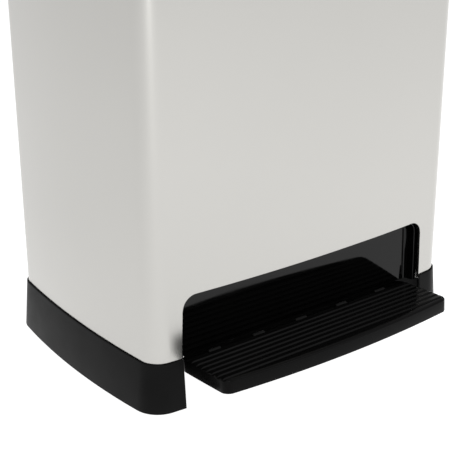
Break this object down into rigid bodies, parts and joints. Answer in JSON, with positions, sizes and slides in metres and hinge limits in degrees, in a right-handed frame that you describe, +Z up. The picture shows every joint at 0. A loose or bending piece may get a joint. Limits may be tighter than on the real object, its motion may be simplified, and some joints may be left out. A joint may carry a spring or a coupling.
{
  "type": "pedal trash can",
  "caption": "Tall rectangular steel-wrapped kitchen bin with a wide ribbed foot pedal in a front recess that lifts a hinged lid over a lift-out bucket.",
  "frame": {"origin": "on the floor, under the middle of the box that holds the whole bin, pedal included", "axes": "+Z up, -Y towards the pedal and the person using it, +X to that person's right"},
  "size_m": [0.4266, 0.351, 0.6479],
  "materials": {
    "wrap_steel": "satin, finely brushed, light silver grey",
    "lid_steel": "satin, finely brushed, light silver grey",
    "base_black": "satin black moulded, very fine texture",
    "pedal_black": "satin black moulded, ribbed",
    "recess_black": "polished black moulded",
    "collar_black": "satin black moulded",
    "bucket_grey": "fine matt grain, dark grey",
    "mechanism_grey": "smooth moulded acetal, mid grey",
    "mechanism_steel": "zinc-plated",
    "foot_rubber": "matt"
  },
  "bodies": {
    "bin": {"body_shell": "wrap_steel", "base": "base_black", "axle_bracket_left": "base_black", "axle_bracket_right": "base_black", "pedal_housing": "recess_black", "top_collar": "collar_black", "damper_cylinder": "collar_black", "inner_bucket": "bucket_grey", "rod_guide_lower": "mechanism_grey", "rod_guide_upper": "mechanism_grey", "rear_channel": "mechanism_steel", "pivot_axle": "mechanism_steel", "axle_clip_left": "mechanism_steel", "axle_clip_right": "mechanism_steel", "hinge_pin_left": "mechanism_steel", "hinge_pin_right": "mechanism_steel", "bracket_screw_1": "mechanism_steel", "bracket_screw_2": "mechanism_steel", "bracket_screw_3": "mechanism_steel", "bracket_screw_4": "mechanism_steel", "housing_screw_1": "mechanism_steel", "housing_screw_2": "mechanism_steel", "foot_front_left": "foot_rubber", "foot_front_right": "foot_rubber", "foot_rear_left": "foot_rubber", "foot_rear_right": "foot_rubber", "lever_stop_left": "foot_rubber", "lever_stop_right": "foot_rubber"},
    "pedal": {"pedal_tread": "pedal_black", "pedal_lever": "mechanism_steel", "tread_screw_1": "mechanism_steel", "tread_screw_2": "mechanism_steel", "tread_screw_3": "mechanism_steel", "tread_screw_4": "mechanism_steel"},
    "lifter": {"lift_rod": "mechanism_steel", "rod_foot": "mechanism_grey", "rod_cap": "mechanism_grey", "damper_rod": "mechanism_steel", "damper_arm": "mechanism_grey"},
    "lid": {"lid_skin": "lid_steel", "lid_frame": "collar_black", "lid_bumper_front_left": "foot_rubber", "lid_bumper_front_right": "foot_rubber", "lid_bumper_rear_left": "foot_rubber", "lid_bumper_rear_right": "foot_rubber"}
  },
  "joints": [
    {"name": "lid_hinge", "type": "hinge", "parent": "bin", "child": "lid", "pos_m": [0, 0.16157, 0.62], "axis": [-1, 0, 0], "range_deg": [0, 75]},
    {"name": "pedal_pivot", "type": "hinge", "parent": "bin", "child": "pedal", "pos_m": [0, 0.01257, 0.03], "axis": [1, 0, 0], "range_deg": [0, 9.2]},
    {"name": "rod_lift", "type": "slide", "parent": "bin", "child": "lifter", "axis": [0, 0, 1], "range_m": [0, 0.0213]}
  ],
  "couplings": [
    {"joint": "pedal_pivot", "follows": "lid_hinge", "ratio": 0.12267},
    {"joint": "rod_lift", "follows": "lid_hinge", "m_per_rad": 0.01627}
  ]
}
